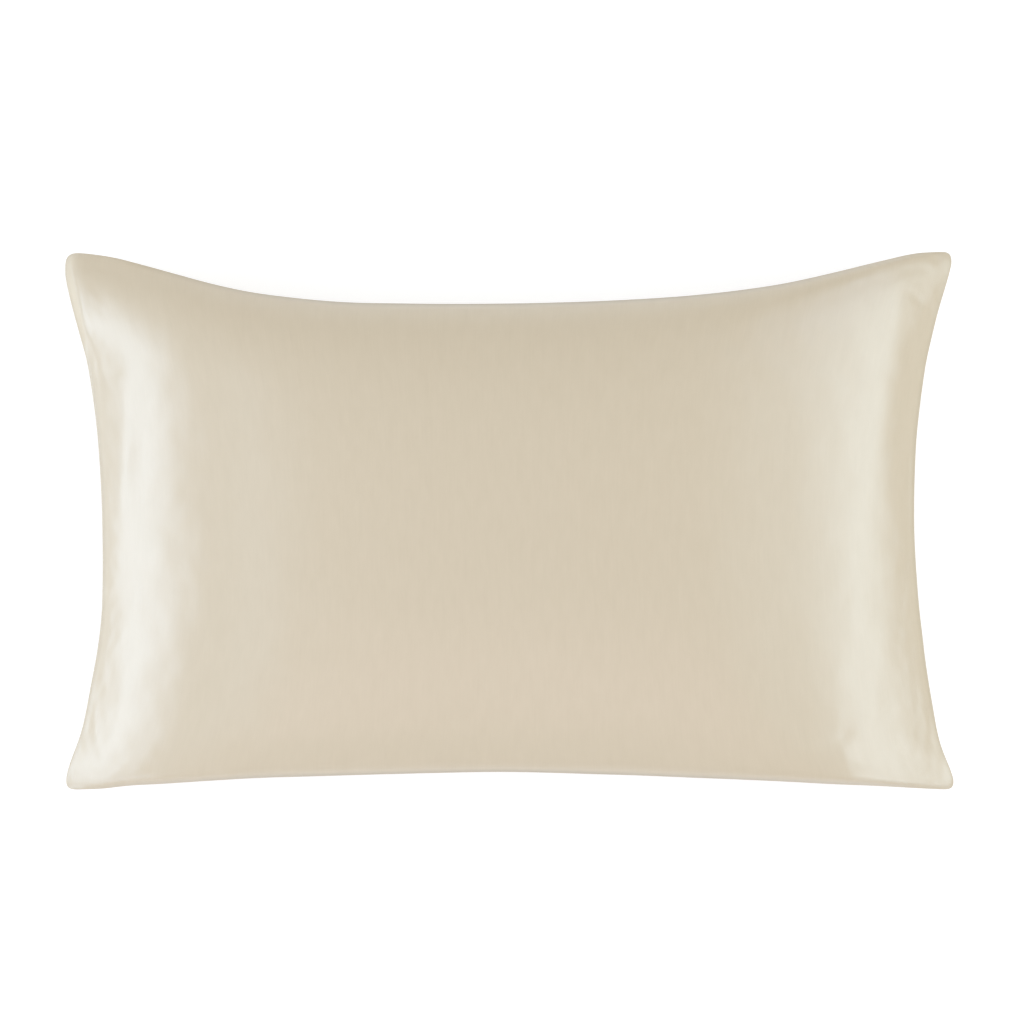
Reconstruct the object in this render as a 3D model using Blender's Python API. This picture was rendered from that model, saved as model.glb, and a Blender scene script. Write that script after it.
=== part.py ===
"""A silk satin pillowcase, filled, lying on its back with its face up.

The case is cut 50 x 80 cm and closed by one seam all round. Filled, the face crowns,
the four sides draw in between the corners, and the underside rests flat. Metres, Z up,
the length along X, the surface it lies on at Z = 0.
"""
import bpy
import bmesh
from mathutils import Matrix, Vector

# Size of the filled case, corner tip to corner tip.
LENGTH = 0.790
WIDTH = 0.478
HALF_LENGTH = LENGTH / 2
HALF_WIDTH = WIDTH / 2

# Corner tips are turned out to a small round.
CORNER_RADIUS = 0.009
CORNER_CUT = CORNER_RADIUS * (1 - 0.5 ** 0.5)

# How far each side draws in from the straight line between its corner tips.
# Columns: place along the side (+X or +Y), draw-in. Metres.
TOP_SIDE = (
    (-0.384, 0.0008),
    (-0.372, 0.0020),
    (-0.351, 0.0053),
    (-0.330, 0.0106),
    (-0.298, 0.0194),
    (-0.266, 0.0281),
    (-0.234, 0.0352),
    (-0.191, 0.0411),
    (-0.149, 0.0448),
    (-0.095, 0.0461),
    (-0.031, 0.0464),
    (0.033, 0.0455),
    (0.097, 0.0432),
    (0.160, 0.0391),
    (0.203, 0.0345),
    (0.246, 0.0279),
    (0.288, 0.0186),
    (0.331, 0.0081),
    (0.363, 0.0012),
    (0.384, 0.0),
)
BOTTOM_SIDE = (
    (-0.383, 0.0003),
    (-0.362, 0.0014),
    (-0.340, 0.0039),
    (-0.308, 0.0057),
    (-0.266, 0.0080),
    (-0.223, 0.0105),
    (-0.181, 0.0118),
    (-0.138, 0.0131),
    (-0.095, 0.0143),
    (-0.053, 0.0153),
    (-0.010, 0.0160),
    (0.033, 0.0153),
    (0.075, 0.0140),
    (0.118, 0.0127),
    (0.160, 0.0109),
    (0.203, 0.0092),
    (0.246, 0.0073),
    (0.288, 0.0054),
    (0.331, 0.0038),
    (0.363, 0.0015),
    (0.384, 0.0003),
)
LEFT_SIDE = (
    (-0.230, 0.0010),
    (-0.220, 0.0030),
    (-0.209, 0.0064),
    (-0.198, 0.0104),
    (-0.188, 0.0138),
    (-0.166, 0.0190),
    (-0.145, 0.0235),
    (-0.124, 0.0276),
    (-0.102, 0.0309),
    (-0.081, 0.0330),
    (-0.050, 0.0338),
    (-0.010, 0.0336),
    (0.020, 0.0328),
    (0.057, 0.0307),
    (0.079, 0.0289),
    (0.100, 0.0264),
    (0.121, 0.0234),
    (0.143, 0.0194),
    (0.164, 0.0137),
    (0.185, 0.0080),
    (0.207, 0.0028),
    (0.217, 0.0008),
    (0.228, 0.0),
)
RIGHT_SIDE = (
    (-0.230, 0.0002),
    (-0.220, 0.0036),
    (-0.209, 0.0082),
    (-0.198, 0.0122),
    (-0.188, 0.0147),
    (-0.166, 0.0187),
    (-0.145, 0.0223),
    (-0.124, 0.0255),
    (-0.102, 0.0281),
    (-0.081, 0.0306),
    (-0.050, 0.0332),
    (-0.010, 0.0353),
    (0.020, 0.0354),
    (0.057, 0.0343),
    (0.079, 0.0329),
    (0.100, 0.0305),
    (0.121, 0.0278),
    (0.143, 0.0243),
    (0.164, 0.0197),
    (0.185, 0.0147),
    (0.207, 0.0085),
    (0.217, 0.0055),
    (0.228, 0.0028),
)

# Heights: the seam above the surface, and each skin's crown away from the seam.
SEAM_HEIGHT = 0.064
FACE_CROWN = 0.086
BACK_CROWN = 0.086
# How the crown rolls over to the seam on each side: a high power keeps it level for
# longer, a low fullness makes it steeper at the seam.
# Columns: power, fullness.
LEFT_ROLL = (2.9, 0.92)
RIGHT_ROLL = (2.75, 0.96)
BOTTOM_ROLL = (3.3, 0.45)
TOP_ROLL = (3.6, 0.45)
# The seam droops to the thin corner tips. Keys: end along X, end along Y.
CORNER_DROOP = {(-1, -1): 0.016, (1, -1): 0.026, (-1, 1): 0.040, (1, 1): 0.034}
DROOP_POWER = 2.5
# Between the corners the filling lifts the seam a little, most in the middle of a side.
LEFT_BOW, RIGHT_BOW = 0.005, 0.0
BOTTOM_BOW, TOP_BOW = 0.020, 0.015
BOW_POWER = 6.0
# The underside presses flat where it lies, over this softness in height.
PRESS_SOFT = 0.008

# The closed seam is two layers of cloth turned in. Its fold stands out a little past
# both skins, which keep this share of the outline.
RIM_THICK = 0.0026
RIM_ROUND = 0.0007
SKIN_SHARE = 1 - RIM_ROUND / HALF_LENGTH

# The opening: near the right end the back panel's outer hem laps over the inner one.
# Its fold ends at this share of the half length and drops by its own thickness over
# LAP_EDGE; the hem runs back from there over LAP_HEM, and the side seams hold it down.
LAP_PLACE = 0.780
LAP_EDGE = 0.008
LAP_HEM = 0.085
LAP_PROUD = 0.0022
LAP_FADE_POWER = 6.0

# The mesh: rows each way, and how strongly they crowd towards the seam.
ROWS_ALONG = 54
ROWS_ACROSS = 36
CROWDING = 0.85
# Distance of each skin from the middle plane while the rows are still square.
LAYER = 0.1

CLOTH_COLOUR = (213, 202, 182)
CLOTH_ROUGHNESS = 0.36


def curve_at(table, place):
    """Reads a two-column table as a smooth curve, level beyond its ends."""
    if place <= table[0][0]:
        return table[0][1]
    if place >= table[-1][0]:
        return table[-1][1]
    last = len(table) - 1
    row = next(i for i in range(last) if table[i + 1][0] >= place)
    x0, y0 = table[row]
    x1, y1 = table[row + 1]
    before = table[max(row - 1, 0)]
    after = table[min(row + 2, last)]
    slope0 = (y1 - before[1]) / (x1 - before[0])
    slope1 = (after[1] - y0) / (after[0] - x0)
    step = x1 - x0
    u = (place - x0) / step
    start = y0 * (1 + 2 * u) * (1 - u) ** 2 + slope0 * step * u * (1 - u) ** 2
    end = y1 * (3 - 2 * u) * u ** 2 + slope1 * step * (u - 1) * u ** 2
    return start + end


def crowded(u):
    """Moves an even place from -1 to 1 so that the rows crowd towards both ends."""
    swing = (3 * u - u ** 3) / 2
    return (1 - CROWDING) * u + CROWDING * swing


def corner(end_x, end_y):
    """The middle of a corner tip's round."""
    side = RIGHT_SIDE if end_x > 0 else LEFT_SIDE
    edge = TOP_SIDE if end_y > 0 else BOTTOM_SIDE
    x = HALF_LENGTH - curve_at(side, end_y) - CORNER_CUT
    y = HALF_WIDTH - curve_at(edge, end_x) - CORNER_CUT
    return Vector((end_x * x, end_y * y))


def long_side(s, end_y):
    """A point on the top or bottom side, from its left corner (-1) to its right (1)."""
    edge = TOP_SIDE if end_y > 0 else BOTTOM_SIDE
    left = corner(-1, end_y)
    right = corner(1, end_y)
    x = left.x + (right.x - left.x) * (s + 1) / 2
    round_over = CORNER_CUT * abs(s) ** (HALF_LENGTH / CORNER_CUT - 1)
    return Vector((x, end_y * (HALF_WIDTH - curve_at(edge, x) - round_over)))


def short_side(t, end_x):
    """A point on the left or right side, from its bottom corner (-1) to its top (1)."""
    side = RIGHT_SIDE if end_x > 0 else LEFT_SIDE
    low = corner(end_x, -1)
    high = corner(end_x, 1)
    y = low.y + (high.y - low.y) * (t + 1) / 2
    round_over = CORNER_CUT * abs(t) ** (HALF_WIDTH / CORNER_CUT - 1)
    return Vector((end_x * (HALF_LENGTH - curve_at(side, y) - round_over), y))


def plan(s, t):
    """Spreads the square of places (s, t) over the outline, side to side."""
    across = long_side(s, -1) * (1 - t) / 2 + long_side(s, 1) * (1 + t) / 2
    along = short_side(t, -1) * (1 - s) / 2 + short_side(t, 1) * (1 + s) / 2
    low = corner(-1, -1) * (1 - s) / 2 + corner(1, -1) * (1 + s) / 2
    high = corner(-1, 1) * (1 - s) / 2 + corner(1, 1) * (1 + s) / 2
    return across + along - low * (1 - t) / 2 - high * (1 + t) / 2


def roll(place, low_side, high_side):
    """One way's share of the crown: 1 in the middle, 0 at the seam."""
    power, fullness = high_side if place > 0 else low_side
    return max(0.0, 1 - abs(place) ** power) ** fullness


def crown(s, t):
    """The share of the full crown at a place: 1 in the middle, 0 at the seam."""
    return roll(s, LEFT_ROLL, RIGHT_ROLL) * roll(t, BOTTOM_ROLL, TOP_ROLL)


def pressed(z):
    """Presses a height flat against the surface at Z = 0, over a soft bend."""
    if z >= PRESS_SOFT:
        return z
    if z <= -PRESS_SOFT:
        return 0.0
    return (z + PRESS_SOFT) ** 2 / (4 * PRESS_SOFT)


def seam_height(s, t):
    """The height of the seam's middle, carried inward so that both skins follow it."""
    end_x = 1 if s > 0 else -1
    end_y = 1 if t > 0 else -1
    droop = CORNER_DROOP[end_x, end_y] * abs(s * t) ** DROOP_POWER
    side_bow = RIGHT_BOW if s > 0 else LEFT_BOW
    edge_bow = TOP_BOW if t > 0 else BOTTOM_BOW
    bow = side_bow * abs(s) ** BOW_POWER * (1 - t * t)
    bow += edge_bow * abs(t) ** BOW_POWER * (1 - s * s)
    return SEAM_HEIGHT - droop + bow


def lap(s, t):
    """How far the back stands proud at the opening's outer hem."""
    hem = min(1.0, max(0.0, (s - LAP_PLACE + LAP_HEM) / LAP_HEM))
    drop = min(1.0, max(0.0, (s - LAP_PLACE) / LAP_EDGE))
    return LAP_PROUD * (hem - drop) * (1 - abs(t) ** LAP_FADE_POWER)


def crowd_rows(bm):
    """Draws the square rows closer together towards the seam."""
    for vert in bm.verts:
        vert.co.x = crowded(vert.co.x)
        vert.co.y = crowded(vert.co.y)


def cut_row(bm, place):
    """Adds a row across both skins, for an edge that falls between two rows."""
    geom = bm.verts[:] + bm.edges[:] + bm.faces[:]
    bmesh.ops.bisect_plane(bm, geom=geom, plane_co=(place, 0, 0), plane_no=(1, 0, 0))


def shape_skin(bm):
    """Moves each vertex from its square place to its place on the filled case."""
    for vert in bm.verts:
        s, t, layer = vert.co
        flat = plan(s, t)
        z = seam_height(s, t)
        if layer > LAYER / 2:
            flat *= SKIN_SHARE
            z += RIM_THICK / 2 + FACE_CROWN * crown(s, t)
        elif layer < -LAYER / 2:
            flat *= SKIN_SHARE
            z = pressed(z - RIM_THICK / 2 - BACK_CROWN * crown(s, t) - lap(s, t))
        vert.co = (flat.x, flat.y, z)


def true_to_size(bm):
    """Brings the outline to the exact length and width, centred on the origin."""
    for axis, size in ((0, LENGTH), (1, WIDTH)):
        places = [vert.co[axis] for vert in bm.verts]
        low = min(places)
        scale = size / (max(places) - low)
        for vert in bm.verts:
            vert.co[axis] = (vert.co[axis] - low) * scale - size / 2


def build_case():
    """Two skins of square rows, joined all round by the rim of the seam."""
    bm = bmesh.new()
    for side in (1, -1):
        bmesh.ops.create_grid(
            bm,
            x_segments=ROWS_ALONG,
            y_segments=ROWS_ACROSS,
            size=1.0,
            matrix=Matrix.Translation((0, 0, side * LAYER)),
        )
    crowd_rows(bm)
    cut_row(bm, LAP_PLACE)
    cut_row(bm, LAP_PLACE + LAP_EDGE)
    rim = [edge for edge in bm.edges if edge.is_boundary]
    joined = bmesh.ops.bridge_loops(bm, edges=rim)
    upright = [e for e in joined["edges"] if abs(e.verts[0].co.z - e.verts[1].co.z) > LAYER]
    bmesh.ops.subdivide_edges(bm, edges=upright, cuts=1)
    shape_skin(bm)
    true_to_size(bm)
    bmesh.ops.triangulate(bm, faces=bm.faces, quad_method="SHORT_EDGE")
    bmesh.ops.recalc_face_normals(bm, faces=bm.faces)
    mesh = bpy.data.meshes.new("filled_case")
    bm.to_mesh(mesh)
    bm.free()
    return mesh


def linear(channel):
    """One 8-bit sRGB channel as linear light."""
    value = channel / 255
    return value / 12.92 if value <= 0.04045 else ((value + 0.055) / 1.055) ** 2.4


def silk_satin():
    """The champagne satin that the whole case is cut from."""
    material = bpy.data.materials.new("silk_satin")
    material.use_nodes = True
    shader = material.node_tree.nodes["Principled BSDF"]
    shader.inputs["Base Color"].default_value = [linear(c) for c in CLOTH_COLOUR] + [1.0]
    shader.inputs["Roughness"].default_value = CLOTH_ROUGHNESS
    shader.inputs["Metallic"].default_value = 0.0
    return material


for old in list(bpy.data.objects):
    bpy.data.objects.remove(old, do_unlink=True)

case = bpy.data.objects.new("filled_case", build_case())
bpy.context.scene.collection.objects.link(case)
case.data.materials.append(silk_satin())
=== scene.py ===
# %% [markdown]
# # A silk satin pillowcase on its pillow
#
# The object is a bed pillow in a champagne silk satin case, lying on its back and seen from
# straight above. One closed piece of cloth makes nearly all of it, so the lesson is about
# three things: the drawn-in form of a filled case, the small folds that cloth makes where
# it is sewn, and the long soft highlights of satin.
#
# The case's solid is already in the frame. It holds the size, and a finer piece takes its
# place for the eye.

import math

import bmesh
import bpy
import numpy as np
from mathutils import Matrix, Vector
from mathutils.bvhtree import BVHTree


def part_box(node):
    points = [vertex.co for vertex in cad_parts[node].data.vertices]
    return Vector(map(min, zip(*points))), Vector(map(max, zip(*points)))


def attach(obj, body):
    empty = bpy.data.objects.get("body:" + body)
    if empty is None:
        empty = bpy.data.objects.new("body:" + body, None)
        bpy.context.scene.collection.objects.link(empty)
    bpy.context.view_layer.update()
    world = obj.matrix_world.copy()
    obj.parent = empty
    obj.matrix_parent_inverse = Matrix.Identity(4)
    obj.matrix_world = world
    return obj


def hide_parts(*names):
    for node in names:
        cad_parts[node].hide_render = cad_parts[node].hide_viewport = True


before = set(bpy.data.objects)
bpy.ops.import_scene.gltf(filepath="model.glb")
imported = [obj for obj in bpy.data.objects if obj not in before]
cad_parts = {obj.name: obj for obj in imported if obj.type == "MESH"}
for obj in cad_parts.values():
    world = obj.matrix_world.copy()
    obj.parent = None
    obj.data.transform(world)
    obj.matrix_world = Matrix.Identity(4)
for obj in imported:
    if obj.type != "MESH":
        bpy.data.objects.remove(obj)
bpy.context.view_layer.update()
low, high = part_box("filled_case")
print("solid, mm:", [round((b - a) * 1000, 1) for a, b in zip(low, high)])

# %% [markdown]
# ## Helpers
#
# An operator acts on everything that is selected, so each step first clears the selection.
# Two helpers read a piece's points as one array and put them back. Colours are written as a
# maker would write them, as sRGB hex values, and the shader wants linear light, so one
# function turns them. One more adds a node with its settings and links, which keeps the
# material cells short.

# %% Helpers
MM = 0.001


def select_only(piece):
    """Makes one object the only selected one, and the active one."""
    if bpy.context.object and bpy.context.object.mode != "OBJECT":
        bpy.ops.object.mode_set(mode="OBJECT")
    bpy.ops.object.select_all(action="DESELECT")
    piece.select_set(True)
    bpy.context.view_layer.objects.active = piece


def points_of(piece):
    """A piece's points as an array."""
    co = np.empty(len(piece.data.vertices) * 3)
    piece.data.vertices.foreach_get("co", co)
    return co.reshape(-1, 3)


def move_points(piece, co):
    """Puts an array of points back on a piece."""
    piece.data.vertices.foreach_set("co", np.asarray(co, float).ravel())
    piece.data.update()


def linear(hex_colour):
    """An sRGB hex colour as linear red, green, blue and alpha."""
    parts = [int(hex_colour[i : i + 2], 16) / 255 for i in (1, 3, 5)]
    return [c / 12.92 if c <= 0.04045 else ((c + 0.055) / 1.055) ** 2.4 for c in parts] + [1.0]


def add_node(material, kind, at, settings=None, links=None):
    """Adds a node. Settings are its attributes or sockets, links are socket: (node, output)."""
    tree = material.node_tree
    node = tree.nodes.new(kind)
    node.location = at
    for name, value in (settings or {}).items():
        if isinstance(name, str) and hasattr(node, name):
            setattr(node, name, value)
        else:
            node.inputs[name].default_value = value
    for name, (source, output) in (links or {}).items():
        tree.links.new(source.outputs[output], node.inputs[name])
    return node


# %% [markdown]
# ## Camera
#
# The pillow is shown square on, so the camera looks straight down on its face, with the
# long side level. The corner tips hang far below the crown. From near by they would look
# too small and too close together, so the camera stands far off with a very long lens. The
# picture is 1024 pixels wide and a pixel is 0.888 mm at the height of the seam.

# %% Camera
PIXEL = 0.888 * MM
FRAME_WIDTH = 1024 * PIXEL
SEAM_HEIGHT = 0.064
LENS, SENSOR = 1600.0, 36.0
CAMERA_X, CAMERA_Y = 0.0024, 0.0077

camera_data = bpy.data.cameras.new("camera")
camera_data.lens = LENS
camera_data.sensor_width = SENSOR
camera_data.clip_end = 100.0
camera = bpy.data.objects.new("camera", camera_data)
bpy.context.scene.collection.objects.link(camera)
camera.location = (CAMERA_X, CAMERA_Y, SEAM_HEIGHT + FRAME_WIDTH * LENS / SENSOR)
camera.rotation_euler = (0.0, 0.0, 0.0)
bpy.context.scene.camera = camera
print("camera height, m:", round(camera.location.z, 3))

# %% [markdown]
# ## The outline
#
# The case is cut as a plain rectangle, 50 by 80 cm. Filling it lifts the face, and the
# cloth that goes up has to come from the sides, so every side draws in between its
# corners: most on the top side, least on the bottom one. The sides are measured as a few
# places with the draw-in at each. A smooth curve through the places gives any point.

# %% Outline tables
HALF_LENGTH = round((high[0] - low[0]) / 2, 4)
HALF_WIDTH = round((high[1] - low[1]) / 2, 4)
# How far each tip is rounded off, by its end on x and on y.
TIP_CUT = {(-1, 1): 2.8 * MM, (1, 1): 1.8 * MM, (-1, -1): 1.8 * MM, (1, -1): 1.5 * MM}

# Columns: place along the side, draw-in. Millimetres.
TOP_SIDE = (
    (-384, 0.8), (-372, 2.0), (-351, 5.3), (-330, 10.6), (-298, 19.4), (-266, 28.1),
    (-234, 35.2), (-191, 41.1), (-149, 44.8), (-95, 46.1), (-31, 46.4), (33, 45.5),
    (97, 43.2), (160, 39.1), (203, 34.5), (246, 27.9), (288, 18.6), (331, 8.1),
    (363, 1.2), (384, 0.0),
)
BOTTOM_SIDE = (
    (-383, 0.0), (-362, 0.8), (-340, 3.3), (-308, 5.2), (-266, 8.0), (-223, 10.5),
    (-181, 11.8), (-138, 13.1), (-95, 14.3), (-53, 15.3), (-10, 16.0), (33, 15.3),
    (75, 14.0), (118, 12.7), (160, 10.9), (203, 9.2), (246, 7.2), (288, 4.9),
    (331, 3.1), (363, 1.2), (384, 0.1),
)
LEFT_SIDE = (
    (-230, 1.0), (-220, 3.2), (-209, 7.0), (-198, 11.2), (-188, 14.6), (-166, 19.6),
    (-145, 23.5), (-124, 27.6), (-102, 30.9), (-81, 33.0), (-50, 33.8), (-10, 33.6),
    (20, 32.8), (57, 30.7), (79, 28.9), (100, 26.4), (121, 23.4), (143, 19.4),
    (164, 13.6), (185, 7.8), (207, 2.3), (217, 0.4), (228, 0.0),
)
RIGHT_SIDE = (
    (-230, 0.2), (-220, 3.6), (-209, 8.2), (-198, 12.2), (-188, 14.7), (-166, 18.7),
    (-145, 22.3), (-124, 25.5), (-102, 28.1), (-81, 30.6), (-50, 33.2), (-10, 35.3),
    (20, 35.4), (57, 34.3), (79, 32.9), (100, 30.5), (121, 27.8), (143, 24.3),
    (164, 19.5), (185, 14.3), (207, 7.8), (217, 4.8), (228, 2.0),
)


def draw_in(table, places):
    """Reads a table as one smooth curve, level beyond its ends, at many places at once."""
    at, depth = np.array(table, float).T * MM
    slope = np.gradient(depth, at)
    places = np.clip(np.asarray(places, float), at[0], at[-1])
    row = np.clip(np.searchsorted(at, places) - 1, 0, len(at) - 2)
    step = at[row + 1] - at[row]
    u = (places - at[row]) / step
    rise = depth[row] * (1 + 2 * u) * (1 - u) ** 2 + slope[row] * step * u * (1 - u) ** 2
    return rise + depth[row + 1] * (3 - 2 * u) * u**2 + slope[row + 1] * step * (u - 1) * u**2


def corner(end_x, end_y):
    """The middle of a corner tip's small round."""
    cut = TIP_CUT[(end_x, end_y)]
    x = HALF_LENGTH - draw_in(RIGHT_SIDE if end_x > 0 else LEFT_SIDE, end_y) - cut
    y = HALF_WIDTH - draw_in(TOP_SIDE if end_y > 0 else BOTTOM_SIDE, end_x) - cut
    return np.array([end_x * x, end_y * y])


def long_side(s, end_y):
    """Points on the top or bottom side, from the left corner at -1 to the right at 1."""
    left, right = corner(-1, end_y), corner(1, end_y)
    x = left[0] + (right[0] - left[0]) * (s + 1) / 2
    table = TOP_SIDE if end_y > 0 else BOTTOM_SIDE
    cut = np.where(s > 0, TIP_CUT[(1, end_y)], TIP_CUT[(-1, end_y)])
    rounding = cut * np.abs(s) ** (HALF_LENGTH / cut - 1)
    return np.stack([x, end_y * (HALF_WIDTH - draw_in(table, x) - rounding)], axis=-1)


def short_side(t, end_x):
    """Points on the left or right side, from the bottom corner at -1 to the top at 1."""
    bottom, top = corner(end_x, -1), corner(end_x, 1)
    y = bottom[1] + (top[1] - bottom[1]) * (t + 1) / 2
    table = RIGHT_SIDE if end_x > 0 else LEFT_SIDE
    cut = np.where(t > 0, TIP_CUT[(end_x, 1)], TIP_CUT[(end_x, -1)])
    rounding = cut * np.abs(t) ** (HALF_WIDTH / cut - 1)
    return np.stack([end_x * (HALF_LENGTH - draw_in(table, y) - rounding), y], axis=-1)


def plan(s, t):
    """Spreads places (s, t) of a square over the outline, from side to side."""
    s, t = s[:, None], t[:, None]
    across = long_side(s[:, 0], -1) * (1 - t) / 2 + long_side(s[:, 0], 1) * (1 + t) / 2
    along = short_side(t[:, 0], -1) * (1 - s) / 2 + short_side(t[:, 0], 1) * (1 + s) / 2
    low = corner(-1, -1) * (1 - s) / 2 + corner(1, -1) * (1 + s) / 2
    high = corner(-1, 1) * (1 - s) / 2 + corner(1, 1) * (1 + s) / 2
    return across + along - low * (1 - t) / 2 - high * (1 + t) / 2


middle = plan(np.array([-1.0, 1.0, 0.0, 0.0]), np.array([0.0, 0.0, -1.0, 1.0]))
print("middles of the sides, mm:", np.round(middle / MM, 1).tolist())

# %% [markdown]
# ## The blank
#
# A real case is two flat panels sewn together round the edge. The blank is made the same
# way: one flat grid is the front panel, and extruding it gives the back panel and a narrow
# band that joins them. A few cuts in the band become the turned seam. The rows are then
# crowded towards the seam, where the form bends most, and two more rows are cut across
# the back panel, where the hem of the opening will step down. Last, the blank is numbered
# by place, so that the cloth settles in just the same way each time.

# %% Grid, extrusion and seam band
ROWS_ALONG = 128
ROWS_ACROSS = 80
BLANK_GAP = 0.1
SEAM_CUTS = 3

bpy.ops.object.select_all(action="DESELECT")
bpy.ops.mesh.primitive_grid_add(x_subdivisions=ROWS_ALONG, y_subdivisions=ROWS_ACROSS, size=2)
case = bpy.context.object
case.name = case.data.name = "silk_pillowcase"
bpy.ops.object.mode_set(mode="EDIT")
bpy.ops.mesh.select_all(action="SELECT")
bpy.ops.mesh.extrude_region_move(TRANSFORM_OT_translate={"value": (0, 0, -BLANK_GAP)})
bpy.ops.mesh.select_all(action="SELECT")
bpy.ops.mesh.normals_make_consistent(inside=False)
bpy.ops.mesh.select_all(action="DESELECT")
bpy.ops.mesh.select_mode(type="EDGE")
blank = bmesh.from_edit_mesh(case.data)
for edge in blank.edges:
    edge.select_set(abs(edge.verts[0].co.z - edge.verts[1].co.z) > BLANK_GAP / 2)
bmesh.update_edit_mesh(case.data)
bpy.ops.mesh.subdivide(number_cuts=SEAM_CUTS)
bpy.ops.object.mode_set(mode="OBJECT")
print("panels and band:", len(case.data.polygons), "faces")

# %% Crowded rows and the hem's two cuts
CROWDING = 0.6
# Points below this level are on the back panel.
BACK_LEVEL = -0.99 * BLANK_GAP
# Places along the flat blank, which runs from -1 to 1.
LAP_PLACE, LAP_EDGE = 0.780, 0.008


def crowded(u):
    """Crowds even places from -1 to 1 towards both ends."""
    return (1 - CROWDING) * u + CROWDING * (3 * u - u**3) / 2


square = points_of(case)
square[:, :2] = crowded(square[:, :2])
move_points(case, square)
bpy.ops.object.mode_set(mode="EDIT")
bpy.ops.mesh.select_mode(type="FACE")
for place in (LAP_PLACE, LAP_PLACE + LAP_EDGE):
    bpy.ops.mesh.select_all(action="DESELECT")
    blank = bmesh.from_edit_mesh(case.data)
    for panel_face in blank.faces:
        panel_face.select_set(max(v.co.z for v in panel_face.verts) < BACK_LEVEL)
    bmesh.update_edit_mesh(case.data)
    bpy.ops.mesh.bisect(plane_co=(place, 0, 0), plane_no=(1, 0, 0))
bpy.ops.mesh.select_mode(type="VERT")
bpy.ops.object.mode_set(mode="OBJECT")
print("cut across the back at", LAP_PLACE, "and", LAP_PLACE + LAP_EDGE)

# %% A fixed order


def renumber(piece):
    """Numbers points, edges and faces by place, as operators leave them in no fixed order."""
    co = np.round(points_of(piece), 6)
    order = np.lexsort(co.T)
    number = np.argsort(order)
    edges = sorted(sorted(number[list(edge.vertices)]) for edge in piece.data.edges)
    loops = []
    for face in piece.data.polygons:
        loop = number[list(face.vertices)].tolist()
        first = loop.index(min(loop))
        loops.append(loop[first:] + loop[:first])
    ordered = bmesh.new()
    points = [ordered.verts.new(co[index]) for index in order]
    for ends in edges:
        ordered.edges.new([points[i] for i in ends])
    for loop in sorted(loops):
        ordered.faces.new([points[i] for i in loop])
    ordered.to_mesh(piece.data)
    ordered.free()


renumber(case)
print("blank:", len(case.data.vertices), "points,", len(case.data.polygons), "faces")

# %% [markdown]
# ## Filling the blank
#
# The face of a full pillow is nearly level in the middle and rolls over towards the seam.
# Two simple falls, one along and one across, multiplied together, give that and leave the
# corners thin. The roll is long and easy at the two short ends, and steep along the two
# long sides, and it changes again towards the corners: three of them are held up to their
# seams by the filling, and the top left one is slack. The seam itself isn't level. It
# droops to the corner tips and bows up along the two long sides. The back has the same
# form, but it lies on the surface and is pressed flat there.

# %% Crown, seam and underside
# The turned seam from the face over to the back: how far each row of the band lies inside
# the outline, and its height from the seam's middle. Millimetres.
SEAM_PROFILE = ((0.75, 1.30), (0.05, 0.80), (0.60, 0.0), (0.05, -0.80), (0.75, -1.30))
# The face rises from the seam to the top of the solid, and the back bulges as far down,
# until the table presses it flat.
FACE_CROWN = round(high[2] - SEAM_HEIGHT - SEAM_PROFILE[0][1] * MM, 4)
BACK_CROWN = FACE_CROWN
# Columns: power, fullness. A high power keeps the crown level for longer, a low fullness
# makes it steeper at the seam.
LEFT_ROLL, RIGHT_ROLL = (2.66, 0.915), (2.38, 0.885)
BOTTOM_ROLL, TOP_ROLL = (2.72, 0.51), (3.75, 0.54)
# Columns: top left, top right, bottom left, bottom right corner.
CORNER_DROOP = (0.046, 0.037, 0.028, 0.031)
CORNER_SLACK = (0.77, -0.41, -0.27, -0.50)
END_SLACK = (-0.36, 0.35, 0.15, 0.30)
DROOP_ALONG, DROOP_ACROSS = 3.9, 2.15
SLACK_POWER = 3.3
LEAST_FULLNESS = 0.30
LEFT_BOW, RIGHT_BOW = 0.002, -0.003
BOTTOM_BOW, TOP_BOW = 0.031, 0.012
BOW_POWER = 6.0
PRESS_SOFT = 0.008
# The hem's width on the blank, how far it stands proud, and how it fades to the seams.
LAP_HEM, LAP_PROUD, LAP_FADE_POWER = 0.085, 0.0022, 6.0


def at_corner(values, s, t):
    """Picks, for each place, the value of the corner that it lies nearest to."""
    top_left, top_right, bottom_left, bottom_right = values
    top = np.where(s > 0, top_right, top_left)
    return np.where(t > 0, top, np.where(s > 0, bottom_right, bottom_left))


def roll(place, low_side, high_side, slack):
    """One way's share of the crown, 1 in the middle and 0 at the seam."""
    power = np.where(place > 0, high_side[0], low_side[0])
    fullness = np.where(place > 0, high_side[1], low_side[1]) + slack
    return np.clip(1 - np.abs(place) ** power, 0, 1) ** np.maximum(fullness, LEAST_FULLNESS)


def crown(s, t):
    """The share of the full crown at a place."""
    across = at_corner(CORNER_SLACK, s, t) * np.abs(s) ** SLACK_POWER
    along = at_corner(END_SLACK, s, t) * np.abs(t) ** SLACK_POWER
    return roll(s, LEFT_ROLL, RIGHT_ROLL, along) * roll(t, BOTTOM_ROLL, TOP_ROLL, across)


def seam_height(s, t):
    """Height of the seam: it droops to the corners and bows up along the sides."""
    droop = at_corner(CORNER_DROOP, s, t) * np.abs(s) ** DROOP_ALONG * np.abs(t) ** DROOP_ACROSS
    bow = np.where(s > 0, RIGHT_BOW, LEFT_BOW) * np.abs(s) ** BOW_POWER * (1 - t * t)
    bow += np.where(t > 0, TOP_BOW, BOTTOM_BOW) * np.abs(t) ** BOW_POWER * (1 - s * s)
    return SEAM_HEIGHT - droop + bow


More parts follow.
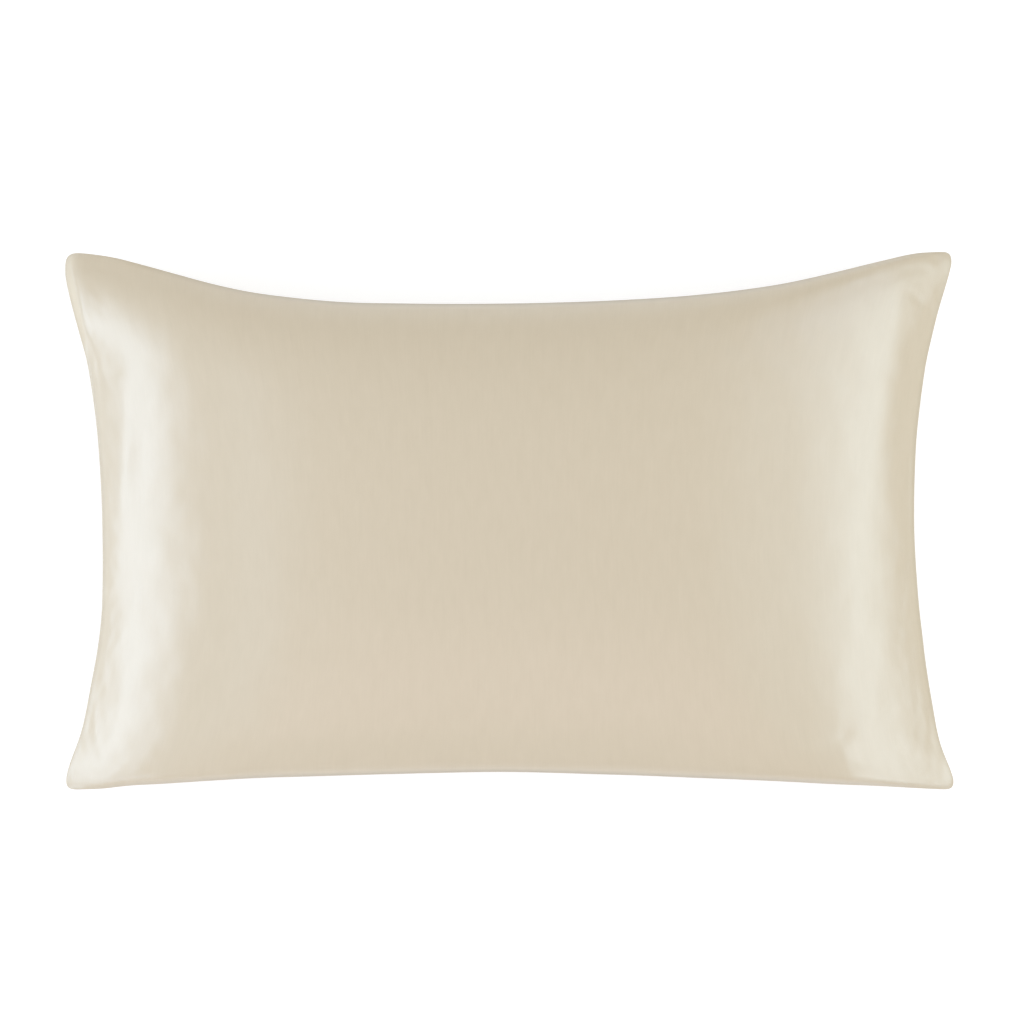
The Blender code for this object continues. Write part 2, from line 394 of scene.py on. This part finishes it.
def pressed(z):
    """Presses heights flat against the surface at 0, over a soft bend."""
    bend = (z + PRESS_SOFT) ** 2 / (4 * PRESS_SOFT)
    return np.where(z >= PRESS_SOFT, z, np.where(z <= -PRESS_SOFT, 0.0, bend))


def lap(s, t):
    """How far the back stands proud at the hem of the opening."""
    hem = np.clip((s - LAP_PLACE + LAP_HEM) / LAP_HEM, 0, 1)
    drop = np.clip((s - LAP_PLACE) / LAP_EDGE, 0, 1)
    return LAP_PROUD * (hem - drop) * (1 - np.abs(t) ** LAP_FADE_POWER)


square = points_of(case)
s, t = square[:, 0], square[:, 1]
layer = np.rint(-square[:, 2] / BLANK_GAP * (SEAM_CUTS + 1)).astype(int)
tuck, lift = np.array(SEAM_PROFILE).T * MM
on_face, on_back = layer == 0, layer == SEAM_CUTS + 1

flat = plan(s, t)
height = seam_height(s, t) + lift[layer]
height = np.where(on_face, height + FACE_CROWN * crown(s, t), height)
underside = pressed(height - BACK_CROWN * crown(s, t) - lap(s, t))
height = np.where(on_back, underside, height)
inside = 1 - tuck[layer] / HALF_LENGTH
shaped = np.column_stack([flat[:, 0] * inside, flat[:, 1] * inside, height])
centre = (shaped[:, :2].max(0) + shaped[:, :2].min(0)) / 2
shaped[:, :2] = (shaped[:, :2] - centre) * (
    np.array([HALF_LENGTH, HALF_WIDTH]) * 2 / np.ptp(shaped[:, :2], axis=0)
)
move_points(case, shaped)
print("filled, mm:", np.round(np.ptp(shaped, axis=0) / MM, 1).tolist())

# %% [markdown]
# ## Cloth measure
#
# Satin's threads run with the panel, not with the room. Each point gets the place it had
# on the flat panel, in metres, measured along the cloth, and keeps it as a UV map. The
# sheen and the grain follow that map. Each point also remembers where it lies: its place
# on the square, and its row from the face over the seam to the back. The later steps find
# the face, the seam and the hem by these.

# %% UV map and remembered places
# Half of a panel that is cut 80 by 50 cm, and where the back panel starts on the map.
HALF_CUT = (0.40, 0.25)
BACK_PANEL_AT = 1.0
cloth_uv = case.data.uv_layers.active or case.data.uv_layers.new(name="cloth")
cloth_uv.name = "cloth"
corner_points = np.empty(len(case.data.loops), int)
case.data.loops.foreach_get("vertex_index", corner_points)
measure = np.column_stack([s * HALF_CUT[0], t * HALF_CUT[1]])
measure[on_back, 1] += BACK_PANEL_AT
cloth_uv.data.foreach_set("uv", measure[corner_points].ravel())
for name, values in (("place_s", s), ("place_t", t), ("row", layer)):
    kept = case.data.attributes.new(name, "FLOAT", "POINT")
    kept.data.foreach_set("value", np.asarray(values, float))


def remembered(piece, name):
    """One remembered value for each point."""
    values = np.empty(len(piece.data.vertices))
    piece.data.attributes[name].data.foreach_get("value", values)
    return values


print("cloth measure, m:", measure.min(0).round(3), measure.max(0).round(3))

# %% [markdown]
# ## Letting the cloth settle
#
# A sewn cloth never lies on its filling quite as drawn. Where the seam holds it short, it
# ripples. Blender's cloth simulation makes such ripples better than a hand does: the cloth
# is a hair larger than the form, gravity is off, and a little pressure from inside keeps it
# on the filling. The seam and the part that lies on the table are pinned, the middle is
# held firmly by the filling, and only a band along the seam is loose. What a point may
# move is capped, so the pillow keeps its form, and the move is then a part of the mesh.

# %% How firmly each point is held
LOOSE_REACH = 0.090
LEAST_HOLD = 0.20
PINNED_RIM = 4.5 * MM
RESTING_BELOW = 2 * MM
# Half of the case's length and width, measured at the middles of its sides.
MIDDLE_HALF = (0.36, 0.21)

start = points_of(case)
to_seam = np.minimum((1 - np.abs(s)) * MIDDLE_HALF[0], (1 - np.abs(t)) * MIDDLE_HALF[1])
reach = np.clip(to_seam / LOOSE_REACH, 0, 1)
hold = LEAST_HOLD + (1 - LEAST_HOLD) * (3 - 2 * reach) * reach**2
hold = np.where(on_face | on_back, hold, 1.0)
hold = np.where(to_seam < PINNED_RIM, 1.0, hold)
hold = np.where(on_back & (start[:, 2] < RESTING_BELOW), 1.0, hold)
print("pinned points:", int((hold == 1.0).sum()), "of", len(hold))

# %% Cloth settling
SETTLE_FRAMES = 20
SETTLE_CAP = 0.0008
SETTLE_SHARE = 0.6


def settle(piece, weights):
    """Lets the cloth settle for some frames and keeps its new form."""
    held = piece.vertex_groups.new(name="held")
    for index, weight in enumerate(weights):
        held.add([index], float(weight), "REPLACE")
    cloth = piece.modifiers.new("settling", "CLOTH")
    cloth.collision_settings.use_collision = False
    fabric = cloth.settings
    fabric.quality = 6
    fabric.mass = 0.08
    fabric.tension_stiffness = fabric.compression_stiffness = 5.0
    fabric.shear_stiffness = 2.5
    fabric.bending_stiffness = 0.8
    fabric.shrink_min = -0.0015
    fabric.use_pressure = True
    fabric.uniform_pressure_force = 0.3
    fabric.effector_weights.gravity = 0.0
    fabric.vertex_group_mass = "held"
    for number in range(1, SETTLE_FRAMES + 1):
        bpy.context.scene.frame_set(number)
    select_only(piece)
    bpy.ops.object.modifier_apply(modifier="settling")
    piece.vertex_groups.remove(piece.vertex_groups["held"])
    bpy.context.scene.frame_set(1)


settle(case, hold)
move = points_of(case) - start
far = np.maximum(np.linalg.norm(move, axis=1), 1e-9)
settled = start + move * SETTLE_SHARE * np.minimum(1, SETTLE_CAP / far)[:, None]
settled[:, 2] = np.where(start[:, 2] == 0, 0, np.maximum(settled[:, 2], 0))
move_points(case, settled)
print("settled, mm: mean", (far.mean() / MM).round(3), "most", (far.max() / MM).round(2))

# %% Smooth and subdivide
select_only(case)
bpy.ops.object.shade_smooth()
finer = case.modifiers.new("finer", "SUBSURF")
finer.levels = finer.render_levels = 1
bpy.ops.object.modifier_apply(modifier="finer")
print("pillowcase:", sum(len(p.vertices) - 2 for p in case.data.polygons), "triangles")

# %% [markdown]
# ## Creases and hollows
#
# The folds on this pillow are drawn one by one. Each is a soft stroke, a
# long round hollow or ridge given by its middle, its reach along and across, its turn and
# its height. They sit where the cloth is gathered: hollows beside the tips, the turnings of
# the seam showing as a raised strip at the top left, short streaks that run in from the
# left side, a slack top right corner and a little ear at the bottom right. Long flats and
# shoulders follow the sides. Under all of them the filling is uneven by a tenth of a
# millimetre or two, which keeps the long highlights from looking turned on a lathe.

# %% Soft strokes
# Columns: x, y, reach along, reach across, turn in degrees, height. Millimetres. A row
# without a note belongs to the note above it.
STROKES = (
    (-357, 228, 33, 7.6, -30, -0.9),  # hollow beside the top left tip
    (-340, 222, 27, 8.1, -15, -0.55),
    (-384, 215, 42, 6.4, -89, 1.75),  # strip over the seam's turnings
    (-378, 192, 32, 10.4, 82, 1.7),  # shoulder below the strip
    (-375, 147, 15, 4.2, -82, -0.85),  # hollow in the left edge
    (-351, 133, 9, 4.2, -27, -0.3),
    (-372, 112, 24, 6.5, 90, -0.4),
    (-362, 113, 4, 1.8, 13, -0.2),  # short streak from the left side
    (-351, 54, 107, 20.0, 84, -1.05),  # long flats along the left side
    (-355, 31, 63, 11.8, 89, 0.65),
    (-342, 58, 47, 7.2, 87, 1.0),
    (-356, -163, 19, 9.0, -71, -0.6),
    (-374, -153, 29, 6.1, -71, -0.3),
    (-325, -216, 19, 4.6, -20, -0.3),  # hollows beside the bottom left tip
    (-369, -230, 36, 10.0, 38, -1.0),
    (-340, -223, 45, 8.7, -6, 0.6),
    (323, 213, 99, 6.1, 22, -0.7),  # slack of the top right corner
    (380, 232, 4, 3.4, -34, -0.8),  # dimple in its tip
    (363, 196, 11, 2.6, -42, -0.3),  # streak below it
    (364, 179, 17, 5.9, 70, 0.75),
    (341, 142, 71, 14.8, 80, 1.6),  # shoulder of the right side
    (357, 61, 104, 7.6, 87, -0.65),  # long flat along the right side
    (296, -191, 6, 4.7, 34, -0.8),  # dimple
    (362, -200, 16, 6.1, -34, 0.5),  # fold towards the ear
    (378, -228, 7, 7.1, 54, -0.45),  # dimple behind the ear
    (348, -235, 37, 2.6, -7, 1.8),  # ear along the bottom edge
    (300, -221, 43, 7.3, -1, -0.5),
    (-149, -214, 151, 12.0, 2, -2.4),  # flats along the bottom side
    (100, -216, 137, 15.3, -1, -1.4),
    (150, 212, 138, 10.9, -18, 0.45),  # shoulder of the top side
)
STROKE_FADE = 0.014


def strokes_at(x, y):
    """The height that all strokes add at many places."""
    total = np.zeros(len(x))
    for at_x, at_y, along, across, turn, rise in STROKES:
        dx, dy = x / MM - at_x, y / MM - at_y
        c, d = math.cos(math.radians(turn)), math.sin(math.radians(turn))
        u, v = (dx * c + dy * d) / along, (dy * c - dx * d) / across
        total += rise * MM * np.exp(-(u * u + v * v) / 2)
    return total


points = points_of(case)
s, t, row = (remembered(case, name) for name in ("place_s", "place_t", "row"))
face = row < 0.5
to_edge = np.clip((1 - np.maximum(np.abs(s), np.abs(t))) / STROKE_FADE, 0, 1)
rise = strokes_at(points[:, 0], points[:, 1]) * np.where(face, (3 - 2 * to_edge) * to_edge**2, 0)
points[:, 2] += rise
move_points(case, points)
print("strokes, mm:", (rise.min() / MM).round(2), (rise.max() / MM).round(2))

# %% Uneven filling
LUMP_SIZE = 0.030
LUMP_HEIGHT = 0.0006
OFF_TABLE = 3 * MM
loose = np.where(points[:, 2] > OFF_TABLE, (3 - 2 * to_edge) * to_edge**2, 0.0)
lumps = bpy.data.textures.new("filling_lumps", "CLOUDS")
lumps.noise_scale = LUMP_SIZE
lumps.noise_depth = 1
lumpy = case.vertex_groups.new(name="lumpy")
for index in np.nonzero(loose > 0)[0]:
    lumpy.add([int(index)], float(loose[index]), "REPLACE")
select_only(case)
uneven = case.modifiers.new("uneven", "DISPLACE")
uneven.texture = lumps
uneven.texture_coords = "LOCAL"
uneven.strength = LUMP_HEIGHT
uneven.mid_level = 0.5
uneven.vertex_group = "lumpy"
bpy.ops.object.modifier_apply(modifier="uneven")
case.vertex_groups.remove(case.vertex_groups["lumpy"])
bpy.data.textures.remove(lumps)
print("filling lumps, mm:", (np.abs(points_of(case) - points).max() / MM).round(2))

# %% Painted seam shade, kept for the material
# Painted shade: the cloth's colour darkens towards the seam and stands in for the shadow in its
# groove. It is strongest along the middles of the long sides, weaker on the short sides and
# faintest at the tips.
SEAM_LINE = 0.0030
SHORT_SIDE_SHARE, TIP_SHARE = 0.45, 0.20
SHADE_FADE_POWER = 2.2
near_long = np.clip(1 - (1 - np.abs(t)) * MIDDLE_HALF[1] / SEAM_LINE, 0, 1)
near_short = np.clip(1 - (1 - np.abs(s)) * MIDDLE_HALF[0] / SEAM_LINE, 0, 1)
near_long *= 1 - (1 - TIP_SHARE) * np.abs(s) ** SHADE_FADE_POWER
near_short *= SHORT_SIDE_SHARE - (SHORT_SIDE_SHARE - TIP_SHARE) * np.abs(t) ** SHADE_FADE_POWER
painted_seam_shade = np.maximum(near_long, near_short)
kept = case.data.attributes.new("painted_seam_shade", "FLOAT", "POINT")
kept.data.foreach_set("value", painted_seam_shade)
print("seam shade on", int((painted_seam_shade > 0).sum()), "points")

# %% The pillowcase in the solid's place
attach(case, "root")
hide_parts("filled_case")

# %% [markdown]
# ## The stitched hem of the opening
#
# The case is closed like an envelope. The back panel is cut across near its right end, and
# the edge of the long part is folded to a hem that lies over the short part. This side
# lies on the table, so it is made plainly: the hem is a step in the back panel, with one
# row of machine stitches along its fold. A stitch shows as a short round bead of thread
# that dives into the cloth at both ends. One is shaped from a thin cylinder. The others
# are copies of it, each turned to lie on the cloth at its own place.

# %% One stitch
STITCH_LENGTH, STITCH_PITCH = 2.4 * MM, 3.0 * MM
THREAD_RADIUS = 0.2 * MM
THREAD_SIDES = 8
# Both ends of a stitch, past this share of its length from the middle, dive this deep.
END_FROM, END_DIVE = 0.45, 1.6 * THREAD_RADIUS

bpy.ops.object.select_all(action="DESELECT")
bpy.ops.mesh.primitive_cylinder_add(
    vertices=THREAD_SIDES,
    radius=THREAD_RADIUS,
    depth=STITCH_LENGTH,
    rotation=(math.pi / 2, 0, 0),
)
stitch = bpy.context.object
bpy.ops.object.transform_apply(location=True, rotation=True, scale=True)
bpy.ops.object.mode_set(mode="EDIT")
bpy.ops.mesh.select_all(action="DESELECT")
bpy.ops.mesh.select_mode(type="EDGE")
thread = bmesh.from_edit_mesh(stitch.data)
for edge in thread.edges:
    edge.select_set(abs(edge.verts[0].co.y - edge.verts[1].co.y) > STITCH_LENGTH / 2)
bmesh.update_edit_mesh(stitch.data)
bpy.ops.mesh.subdivide(number_cuts=3)
bpy.ops.mesh.select_all(action="DESELECT")
thread = bmesh.from_edit_mesh(stitch.data)
for edge in thread.edges:
    edge.select_set(all(abs(v.co.y) > END_FROM * STITCH_LENGTH for v in edge.verts))
bmesh.update_edit_mesh(stitch.data)
bpy.ops.transform.translate(value=(0, 0, -END_DIVE))
bpy.ops.mesh.select_mode(type="VERT")
bpy.ops.object.mode_set(mode="OBJECT")
bpy.ops.object.shade_smooth()
print("one stitch:", len(stitch.data.polygons), "faces")

# %% The row's places along the fold
# The fold lies this far in from the hem's edge, on the flat blank.
HEM_FOLD = 0.076
STITCH_REACH = 0.86
PATH_STEPS = 200
BELOW_TABLE = -0.05
skin = BVHTree.FromObject(case, bpy.context.evaluated_depsgraph_get())
steps = np.linspace(-STITCH_REACH, STITCH_REACH, PATH_STEPS)
under = plan(np.full_like(steps, LAP_PLACE - HEM_FOLD), steps)
path = [skin.ray_cast(Vector((x, y, BELOW_TABLE)), Vector((0, 0, 1)))[0] for x, y in under]
gone = np.concatenate([[0.0], np.cumsum([(b - a).length for a, b in zip(path, path[1:])])])
spots = np.arange(STITCH_PITCH / 2, gone[-1], STITCH_PITCH)
at = np.column_stack([np.interp(spots, gone, [p[axis] for p in path]) for axis in range(3)])
print("fold, m:", round(gone[-1], 3))

# %% A row of stitches on the back
# How far a stitch's middle stands off the cloth, as a share of the thread's radius.
STITCH_PROUD = 0.3
select_only(stitch)
for spot, ahead in zip(at[:-1], at[1:]):
    on_skin, out, _, _ = skin.find_nearest(Vector((spot + ahead) / 2))
    along = Vector(ahead - spot)
    side = along.cross(out).normalized()
    turned = Matrix((side, out.cross(side).normalized(), out)).transposed().to_4x4()
    turned.translation = on_skin + out * STITCH_PROUD * THREAD_RADIUS
    copied = stitch.data.copy()
    copied.transform(turned)
    one = bpy.data.objects.new("hem_stitch", copied)
    bpy.context.scene.collection.objects.link(one)
    one.select_set(True)
bpy.data.objects.remove(stitch)
bpy.context.view_layer.objects.active = one
bpy.ops.object.join()
stitches = bpy.context.object
stitches.name = stitches.data.name = "hem_stitches"
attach(stitches, "root")
print("hem stitches:", len(spots) - 1)

# %% [markdown]
# ## Silk satin
#
# Silk satin, or charmeuse, is woven so that long threads float on the face. The floats lie
# side by side like combed hair: light slides off them in long soft bands, bright when the
# cloth turns towards a lamp and pale champagne elsewhere. The thread is a protein fibre of
# refractive index near 1.54. The sheen is stretched across the threads by the shader's
# anisotropy, with its tangent from the cloth's own map.

# %% Silk satin
SILK_BASE = "#D5C7AE"
SILK_SHADE = "#CBBDA3"
# Painted shade: the darker colour mixed in along the seam for the shadow in its groove.
SEAM_PAINTED_SHADE = "#B5A78D"
# The floats are about 0.1 mm apart. Too fine to show, they are drawn as a grain of 1.1 mm.
GRAIN_ACROSS, GRAIN_ALONG = 1.1 * MM, 45 * MM
# Slubs, where a thread runs thicker for a while, tint the cloth in soft upright flecks.
SLUB_ACROSS, SLUB_ALONG = 9 * MM, 28 * MM
silk = bpy.data.materials.new("silk_charmeuse_champagne")
silk.use_nodes = True
silk.node_tree.nodes.clear()
place = add_node(silk, "ShaderNodeUVMap", (-1200, 0), {"uv_map": "cloth"})
stretch = add_node(
    silk,
    "ShaderNodeMapping",
    (-1000, 0),
    {"Scale": (1 / GRAIN_ACROSS, 1 / GRAIN_ALONG, 1.0)},
    {"Vector": (place, "UV")},
)
grain = add_node(
    silk,
    "ShaderNodeTexNoise",
    (-800, 0),
    {"Scale": 1.0, "Detail": 2.0, "Roughness": 0.5},
    {"Vector": (stretch, "Vector")},
)
slub_map = add_node(
    silk,
    "ShaderNodeMapping",
    (-1000, 350),
    {"Scale": (1 / SLUB_ACROSS, 1 / SLUB_ALONG, 1.0)},
    {"Vector": (place, "UV")},
)
slubs = add_node(
    silk,
    "ShaderNodeTexNoise",
    (-800, 350),
    {"Scale": 1.0, "Detail": 3.0, "Roughness": 0.6},
    {"Vector": (slub_map, "Vector")},
)
both = add_node(
    silk,
    "ShaderNodeMix",
    (-650, 200),
    {"data_type": "FLOAT", "Factor": 0.6},
    {2: (grain, "Fac"), 3: (slubs, "Fac")},
)
tint = add_node(
    silk,
    "ShaderNodeMix",
    (-500, 200),
    {"data_type": "RGBA", 6: linear(SILK_BASE), 7: linear(SILK_SHADE)},
    {"Factor": (both, 0)},
)
seam_at = add_node(
    silk,
    "ShaderNodeAttribute",
    (-500, 500),
    {"attribute_type": "GEOMETRY", "attribute_name": "painted_seam_shade"},
)
# Painted shade along the seam: the silk's colour is mixed towards the painted seam shade.
shaded = add_node(
    silk,
    "ShaderNodeMix",
    (-300, 300),
    {"data_type": "RGBA", 7: linear(SEAM_PAINTED_SHADE)},
    {"Factor": (seam_at, "Fac"), 6: (tint, 2)},
)
weave = add_node(
    silk,
    "ShaderNodeBump",
    (-500, -300),
    {"Strength": 0.04, "Distance": 0.0004},
    {"Height": (grain, "Fac")},
)
threads = add_node(
    silk,
    "ShaderNodeTangent",
    (-500, -500),
    {"direction_type": "UV_MAP", "uv_map": "cloth"},
)
satin = add_node(
    silk,
    "ShaderNodeBsdfPrincipled",
    (-200, 0),
    {
        "Roughness": 0.30,
        "IOR": 1.54,
        "Anisotropic": 0.7,
        "Anisotropic Rotation": 0.25,
        "Specular IOR Level": 0.6,
    },
    {
        "Base Color": (shaded, 2),
        "Normal": (weave, "Normal"),
        "Tangent": (threads, "Tangent"),
    },
)
add_node(silk, "ShaderNodeOutputMaterial", (100, 0), None, {"Surface": (satin, "BSDF")})
case.data.materials.clear()
case.data.materials.append(silk)
print("silk:", SILK_BASE, "roughness", round(satin.inputs["Roughness"].default_value, 2))

# %% [markdown]
# ## Sewing thread
#
# The hem is sewn with spun polyester thread, dyed to the cloth. Its plies are twisted, so
# it has small slanting ridges and less shine than the satin. A fine band texture across
# the Object coordinates, turned a little, stands for the twist. Real plies are 0.2 mm
# apart, and they are drawn twice as coarse so that they show.

# %% Sewing thread
THREAD_BASE, THREAD_SHADE = "#CDBE9F", "#B9A988"
PLY_SPACING = 0.4 * MM
thread_look = bpy.data.materials.new("polyester_sewing_thread")
thread_look.use_nodes = True
thread_look.node_tree.nodes.clear()
where = add_node(thread_look, "ShaderNodeTexCoord", (-900, 0))
twisted = add_node(
    thread_look,
    "ShaderNodeMapping",
    (-700, 0),
    {"Rotation": (0.0, 0.0, math.radians(60))},
    {"Vector": (where, "Object")},
)
plies = add_node(
    thread_look,
    "ShaderNodeTexWave",
    (-500, 0),
    {"Scale": math.pi / 10 / PLY_SPACING, "Distortion": 0.5},
    {"Vector": (twisted, "Vector")},
)
dyed = add_node(
    thread_look,
    "ShaderNodeMix",
    (-300, 200),
    {"data_type": "RGBA", 6: linear(THREAD_SHADE), 7: linear(THREAD_BASE)},
    {"Factor": (plies, "Fac")},
)
ridges = add_node(
    thread_look,
    "ShaderNodeBump",
    (-300, -200),
    {"Strength": 0.3, "Distance": 0.05 * MM},
    {"Height": (plies, "Fac")},
)
spun = add_node(
    thread_look,
    "ShaderNodeBsdfPrincipled",
    (-100, 0),
    {"Roughness": 0.55, "IOR": 1.54, "Sheen Weight": 0.2},
    {"Base Color": (dyed, 2), "Normal": (ridges, "Normal")},
)
add_node(thread_look, "ShaderNodeOutputMaterial", (150, 0), None, {"Surface": (spun, "BSDF")})
stitches.data.materials.clear()
stitches.data.materials.append(thread_look)
print("thread:", THREAD_BASE, "plies every", PLY_SPACING / MM, "mm")

# %% [markdown]
# ## Floor and light
#
# Satin shows its lights as a mirror would, only smeared, so the lamps are the picture. The
# stage is a plain white table in a bright, warm room. Long soft boxes stand one above the
# other on the left and on the right, and each draws one strip of the bright band down its
# side. A weak warm one, high on the near side, evens out the lower half of the face. Three
# small ones off the corners lift the tips, where the seam turns down. All stand well back,
# so their light falls evenly along the whole case. All but the warm one are cooler than
# the room, which keeps the bands from turning yellow.

# %% Floor
TABLE_SIZE = 24.0
TABLE_COLOUR, TABLE_GLOW = "#BCBCBC", 0.60
bpy.ops.object.select_all(action="DESELECT")
bpy.ops.mesh.primitive_plane_add(size=TABLE_SIZE)
floor = bpy.context.object
floor.name = "studio_floor"
pale = bpy.data.materials.new("matt_white_table")
pale.use_nodes = True
surface = pale.node_tree.nodes["Principled BSDF"]
surface.inputs["Base Color"].default_value = linear(TABLE_COLOUR)
surface.inputs["Roughness"].default_value = 0.9
surface.inputs["Emission Color"].default_value = (1.0, 1.0, 1.0, 1.0)
surface.inputs["Emission Strength"].default_value = TABLE_GLOW
floor.data.materials.append(pale)
print("table:", TABLE_SIZE, "m wide, colour", TABLE_COLOUR)

# %% Soft boxes and room light
BOX_DISTANCE = 5.0
BOX_AIM = 0.08
SIDE_BOX, END_BOX, CORNER_BOX = (4.25, 0.80), (4.50, 1.50), (2.50, 1.25)
LEFT_LIGHT, RIGHT_LIGHT = (0.63, 0.80, 1.0), (0.72, 0.89, 1.0)
CORNER_LIGHT, WARM_LIGHT = (0.54, 0.73, 1.0), (1.0, 0.66, 0.74)
ROOM_LIGHT = (1.0, 0.87, 0.74)
# Columns: name, bearing in degrees from +X, elevation, length and height, watts, colour.
SOFT_BOXES = (
    ("left_lowest", 180, 4, SIDE_BOX, 50, LEFT_LIGHT),
    ("left_low", 180, 20, SIDE_BOX, 17, LEFT_LIGHT),
    ("left_middle", 180, 28, SIDE_BOX, 76, LEFT_LIGHT),
    ("left_high", 180, 36, SIDE_BOX, 50, LEFT_LIGHT),
    ("left_top", 180, 58, SIDE_BOX, 13.5, LEFT_LIGHT),
    ("right_low", 0, 28, SIDE_BOX, 30, RIGHT_LIGHT),
    ("right_middle", 0, 36, SIDE_BOX, 60, RIGHT_LIGHT),
    ("right_high", 0, 46, SIDE_BOX, 21, RIGHT_LIGHT),
    ("right_top", 0, 58, SIDE_BOX, 11.5, RIGHT_LIGHT),
    ("near_high", 270, 65, END_BOX, 24, WARM_LIGHT),
    ("near_left", 225, 20, CORNER_BOX, 37, CORNER_LIGHT),
    ("near_right", 315, 20, CORNER_BOX, 27, CORNER_LIGHT),
    ("far_right", 45, 40, CORNER_BOX, 33, CORNER_LIGHT),
)
for name, bearing, elevation, (along, across), power, colour in SOFT_BOXES:
    turn, rise = math.radians(bearing), math.radians(elevation)
    out = Vector((math.cos(turn) * math.cos(rise), math.sin(turn) * math.cos(rise), math.sin(rise)))
    lamp = bpy.data.lights.new(name, "AREA")
    lamp.shape = "RECTANGLE"
    lamp.size, lamp.size_y = along, across
    lamp.energy = power
    lamp.color = colour
    box = bpy.data.objects.new(name, lamp)
    bpy.context.scene.collection.objects.link(box)
    box.location = out * BOX_DISTANCE
    facing = (out * BOX_DISTANCE - Vector((0.0, 0.0, BOX_AIM))).normalized()
    level = Vector((-math.sin(turn), math.cos(turn), 0.0))
    upright = facing.cross(level).normalized()
    axes = Matrix((upright.cross(facing), upright, facing)).transposed()
    box.rotation_euler = axes.to_euler()
    box.visible_camera = False
print("soft boxes:", len(SOFT_BOXES), "at", BOX_DISTANCE, "m")

# %% Room
ROOM_STRENGTH = 0.507
world = bpy.data.worlds.new("room")
world.use_nodes = True
room = world.node_tree.nodes["Background"]
room.inputs["Color"].default_value = (*ROOM_LIGHT, 1.0)
room.inputs["Strength"].default_value = ROOM_STRENGTH
bpy.context.scene.world = world
bpy.context.scene.view_settings.view_transform = "Standard"
bpy.context.scene.view_settings.look = "None"
print("room light:", ROOM_STRENGTH)
